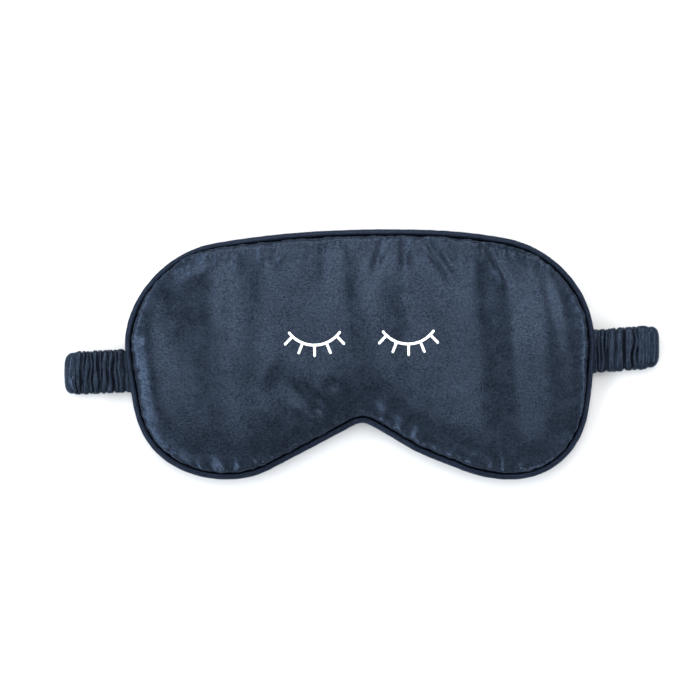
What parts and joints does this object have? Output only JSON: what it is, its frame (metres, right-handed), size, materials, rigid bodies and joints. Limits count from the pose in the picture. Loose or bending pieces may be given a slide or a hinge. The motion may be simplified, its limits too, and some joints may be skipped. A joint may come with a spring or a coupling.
{
  "type": "sleep eye mask",
  "caption": "Padded satin sleep eye mask with a piped edge and a gathered elastic head strap that opens into a loop.",
  "frame": {"origin": "on the mask's left-right centre line, level with the strap, on the flat underside of the strap's back run", "axes": "+X across the face towards the right-hand side seen from the front, +Y from the nose notch to the brow edge, +Z out of the front panel"},
  "size_m": [0.254, 0.1076, 0.0162],
  "materials": {
    "satin": "satin",
    "bias_satin": "satin",
    "wadding": "matte",
    "blackout_cloth": "matte",
    "cotton_cord": "matte",
    "elastic": "matte",
    "thread": "satin",
    "print_film": "matte"
  },
  "bodies": {
    "strap_back": {"back_sleeve": "satin", "back_elastic": "elastic"},
    "left_lower_inner": {"lower_inner_sleeve_left": "satin"},
    "left_lower_outer": {"lower_outer_sleeve_left": "satin", "lower_elastic_left": "elastic"},
    "left_upper_outer": {"upper_outer_sleeve_left": "satin", "upper_elastic_left": "elastic"},
    "left_upper_inner": {"upper_inner_sleeve_left": "satin"},
    "right_lower_inner": {"lower_inner_sleeve_right": "satin"},
    "right_lower_outer": {"lower_outer_sleeve_right": "satin", "lower_elastic_right": "elastic"},
    "right_upper_outer": {"upper_outer_sleeve_right": "satin", "upper_elastic_right": "elastic"},
    "right_upper_inner": {"upper_inner_sleeve_right": "satin"},
    "mask_left": {"front_panel_left": "satin", "front_padding_left": "wadding", "blackout_liner_left": "blackout_cloth", "rear_padding_left": "wadding", "back_panel_left": "satin", "piping_cover_left": "bias_satin", "piping_cord_left": "cotton_cord", "seam_stitches_left": "thread", "strap_tab_left": "satin", "strap_tacks_left": "thread", "eye_print_left": "print_film"},
    "mask_right": {"front_panel_right": "satin", "front_padding_right": "wadding", "blackout_liner_right": "blackout_cloth", "rear_padding_right": "wadding", "back_panel_right": "satin", "piping_cover_right": "bias_satin", "piping_cord_right": "cotton_cord", "seam_stitches_right": "thread", "strap_tab_right": "satin", "strap_tacks_right": "thread", "eye_print_right": "print_film"}
  },
  "joints": [
    {"name": "loop_open", "type": "hinge", "parent": "strap_back", "child": "left_lower_inner", "pos_m": [-0.0897, 0, 0.0015], "axis": [0, 1, 0], "range_deg": [0, 88]},
    {"name": "strap_stretch", "type": "slide", "parent": "left_lower_inner", "child": "left_lower_outer", "axis": [-1, 0, 0], "range_m": [0, 0.014]},
    {"name": "left_fold", "type": "hinge", "parent": "left_lower_outer", "child": "left_upper_outer", "pos_m": [-0.1255, 0, 0.00315], "axis": [0, -1, 0], "range_deg": [0, 176]},
    {"name": "left_upper_stretch", "type": "slide", "parent": "left_upper_outer", "child": "left_upper_inner", "axis": [1, 0, 0], "range_m": [0, 0.014]},
    {"name": "left_seam_swing", "type": "hinge", "parent": "left_upper_inner", "child": "mask_left", "pos_m": [-0.0972, 0, 0.0065], "axis": [0, 1, 0], "range_deg": [0, 66.5]},
    {"name": "nose_bridge_bend", "type": "hinge", "parent": "mask_left", "child": "mask_right", "pos_m": [0, 0, 0.0031], "axis": [0, 1, 0], "range_deg": [0, 43.1]},
    {"name": "right_loop_open", "type": "hinge", "parent": "strap_back", "child": "right_lower_inner", "pos_m": [0.0897, 0, 0.0015], "axis": [0, -1, 0], "range_deg": [0, 88]},
    {"name": "right_lower_stretch", "type": "slide", "parent": "right_lower_inner", "child": "right_lower_outer", "axis": [1, 0, 0], "range_m": [0, 0.014]},
    {"name": "right_fold", "type": "hinge", "parent": "right_lower_outer", "child": "right_upper_outer", "pos_m": [0.1255, 0, 0.00315], "axis": [0, 1, 0], "range_deg": [0, 176]},
    {"name": "right_upper_stretch", "type": "slide", "parent": "right_upper_outer", "child": "right_upper_inner", "axis": [-1, 0, 0], "range_m": [0, 0.014]}
  ],
  "couplings": [
    {"joint": "left_fold", "follows": "loop_open", "ratio": 2},
    {"joint": "left_seam_swing", "follows": "loop_open", "ratio": 0.75556},
    {"joint": "nose_bridge_bend", "follows": "loop_open", "ratio": 0.48889},
    {"joint": "right_loop_open", "follows": "loop_open", "ratio": 1},
    {"joint": "right_fold", "follows": "loop_open", "ratio": 2},
    {"joint": "left_upper_stretch", "follows": "strap_stretch", "ratio": 1},
    {"joint": "right_lower_stretch", "follows": "strap_stretch", "ratio": 1},
    {"joint": "right_upper_stretch", "follows": "strap_stretch", "ratio": 1}
  ]
}
